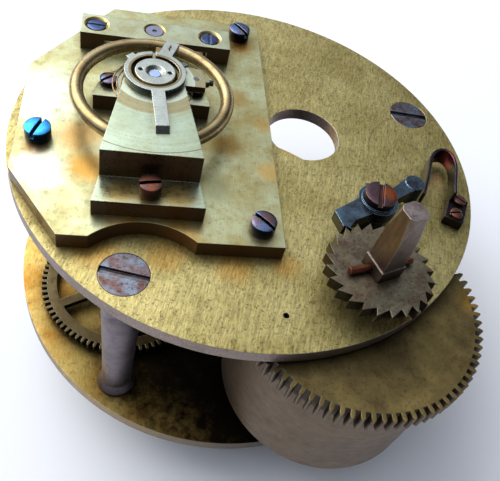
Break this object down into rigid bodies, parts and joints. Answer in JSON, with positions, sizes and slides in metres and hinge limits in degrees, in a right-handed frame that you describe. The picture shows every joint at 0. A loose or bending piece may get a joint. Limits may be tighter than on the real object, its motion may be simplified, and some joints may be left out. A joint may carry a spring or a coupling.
{
  "type": "mantel clock movement",
  "caption": "Round clock movement: plates on pillars, going barrel reaching past the edge, wheel train, ratchet and click, and a lever escapement platform with balance.",
  "frame": {"origin": "axis of the centre arbor on the dial side of the front plate, which is the middle between the dial foot holes", "axes": "+Z from the dial side to the back plate; +X along the long edge of the lever platform, away from the platform"},
  "size_m": [0.0702, 0.0775, 0.0568],
  "materials": {
    "plate_brass": "brushed, aged",
    "platform_brass": "fine grained, tarnished in patches",
    "wheel_brass": "satin",
    "drum_brass": "dull, aged",
    "steel": "turned, bright",
    "dark_steel": "dark, worn",
    "blued_steel": "blued",
    "rusty_steel": "rusty",
    "ruby": "polished",
    "pale_stone": "polished"
  },
  "bodies": {
    "frame": {"front_plate": "plate_brass", "back_plate": "plate_brass", "pillars": "steel", "pillar_screws": "steel", "click_screw": "rusty_steel", "click_spring": "dark_steel", "click_spring_screws": "rusty_steel", "escape_potence": "platform_brass", "potence_screw": "steel", "platform_plate": "platform_brass", "platform_screws": "blued_steel", "banking_pins": "steel", "lower_jewels": "ruby", "pallet_bridge": "platform_brass", "pallet_bridge_screws": "blued_steel", "escape_bridge": "platform_brass", "escape_bridge_screws": "blued_steel", "upper_jewels": "ruby", "balance_cock": "platform_brass", "cock_screw": "rusty_steel", "stud": "steel", "stud_screw": "blued_steel", "endstone_cap": "steel", "endstone": "pale_stone", "cap_screws": "blued_steel", "minute_stud": "steel"},
    "barrel": {"barrel_drum": "drum_brass", "barrel_cover": "drum_brass", "mainspring": "dark_steel"},
    "winding": {"barrel_arbor": "steel", "ratchet_wheel": "steel", "ratchet_pin": "rusty_steel"},
    "click": {"click": "dark_steel"},
    "intermediate": {"intermediate_arbor": "steel", "intermediate_wheel": "wheel_brass"},
    "centre": {"centre_arbor": "steel", "centre_wheel": "wheel_brass", "cannon_pinion": "steel"},
    "third": {"third_arbor": "steel", "third_wheel": "wheel_brass"},
    "fourth": {"fourth_arbor": "steel", "fourth_wheel": "wheel_brass"},
    "escape": {"escape_arbor": "steel", "escape_wheel": "wheel_brass"},
    "lever": {"pallet_lever": "steel", "pallet_arbor": "steel", "pallet_stones": "ruby"},
    "balance": {"balance_wheel": "wheel_brass", "balance_staff": "steel", "roller": "steel", "hairspring": "dark_steel", "collet": "wheel_brass"},
    "index": {"index": "steel", "curb_pins": "wheel_brass"},
    "minute": {"minute_wheel": "wheel_brass"},
    "hour": {"hour_wheel": "wheel_brass"}
  },
  "joints": [
    {"name": "centre_spin", "type": "hinge", "parent": "frame", "child": "centre", "pos_m": [0, 0, 0.0065], "axis": [0, 0, 1], "continuous": true},
    {"name": "barrel_spin", "type": "hinge", "parent": "frame", "child": "barrel", "pos_m": [0.014, -0.025, 0.02], "axis": [0, 0, 1], "continuous": true},
    {"name": "intermediate_spin", "type": "hinge", "parent": "frame", "child": "intermediate", "pos_m": [0.01778, -0.00625, 0.0053], "axis": [0, 0, 1], "continuous": true},
    {"name": "third_spin", "type": "hinge", "parent": "frame", "child": "third", "pos_m": [-0.01742, -0.00681, 0.0037], "axis": [0, 0, 1], "continuous": true},
    {"name": "fourth_spin", "type": "hinge", "parent": "frame", "child": "fourth", "pos_m": [-0.01905, 0.00802, 0.0274], "axis": [0, 0, 1], "continuous": true},
    {"name": "escape_spin", "type": "hinge", "parent": "frame", "child": "escape", "pos_m": [-0.0154, 0.0184, 0.0355], "axis": [0, 0, 1], "continuous": true},
    {"name": "minute_wheel_spin", "type": "hinge", "parent": "frame", "child": "minute", "pos_m": [-0.00831, 0.0048, -0.0017], "axis": [0, 0, 1], "continuous": true},
    {"name": "hour_wheel_spin", "type": "hinge", "parent": "frame", "child": "hour", "pos_m": [0, 0, -0.0037], "axis": [0, 0, 1], "continuous": true},
    {"name": "winding_spin", "type": "hinge", "parent": "frame", "child": "winding", "pos_m": [0.014, -0.025, 0.036], "axis": [0, 0, 1], "continuous": true},
    {"name": "click_pivot", "type": "hinge", "parent": "frame", "child": "click", "pos_m": [0.0161, -0.0133, 0.0355], "axis": [0, 0, 1], "range_deg": [-9, 0], "stiffness_Nm_per_rad": 0.002, "springref_deg": 11.46, "deforming": ["click_spring"]},
    {"name": "lever_swing", "type": "hinge", "parent": "frame", "child": "lever", "pos_m": [-0.0154, 0.01365, 0.036], "axis": [0, 0, 1], "range_deg": [-5, 5]},
    {"name": "balance_swing", "type": "hinge", "parent": "frame", "child": "balance", "pos_m": [-0.0154, 0.0017, 0.0392], "axis": [0, 0, 1], "range_deg": [-270, 270], "deforming": ["hairspring"]},
    {"name": "index_turn", "type": "hinge", "parent": "frame", "child": "index", "pos_m": [-0.0154, 0.0017, 0.0423], "axis": [0, 0, 1], "range_deg": [-20, 20]}
  ],
  "couplings": [
    {"joint": "barrel_spin", "follows": "centre_spin", "ratio": 0.025},
    {"joint": "intermediate_spin", "follows": "centre_spin", "ratio": -0.2},
    {"joint": "third_spin", "follows": "centre_spin", "ratio": -8},
    {"joint": "fourth_spin", "follows": "centre_spin", "ratio": 80},
    {"joint": "escape_spin", "follows": "centre_spin", "ratio": -600},
    {"joint": "minute_wheel_spin", "follows": "centre_spin", "ratio": -0.33333},
    {"joint": "hour_wheel_spin", "follows": "centre_spin", "ratio": 0.083333}
  ]
}
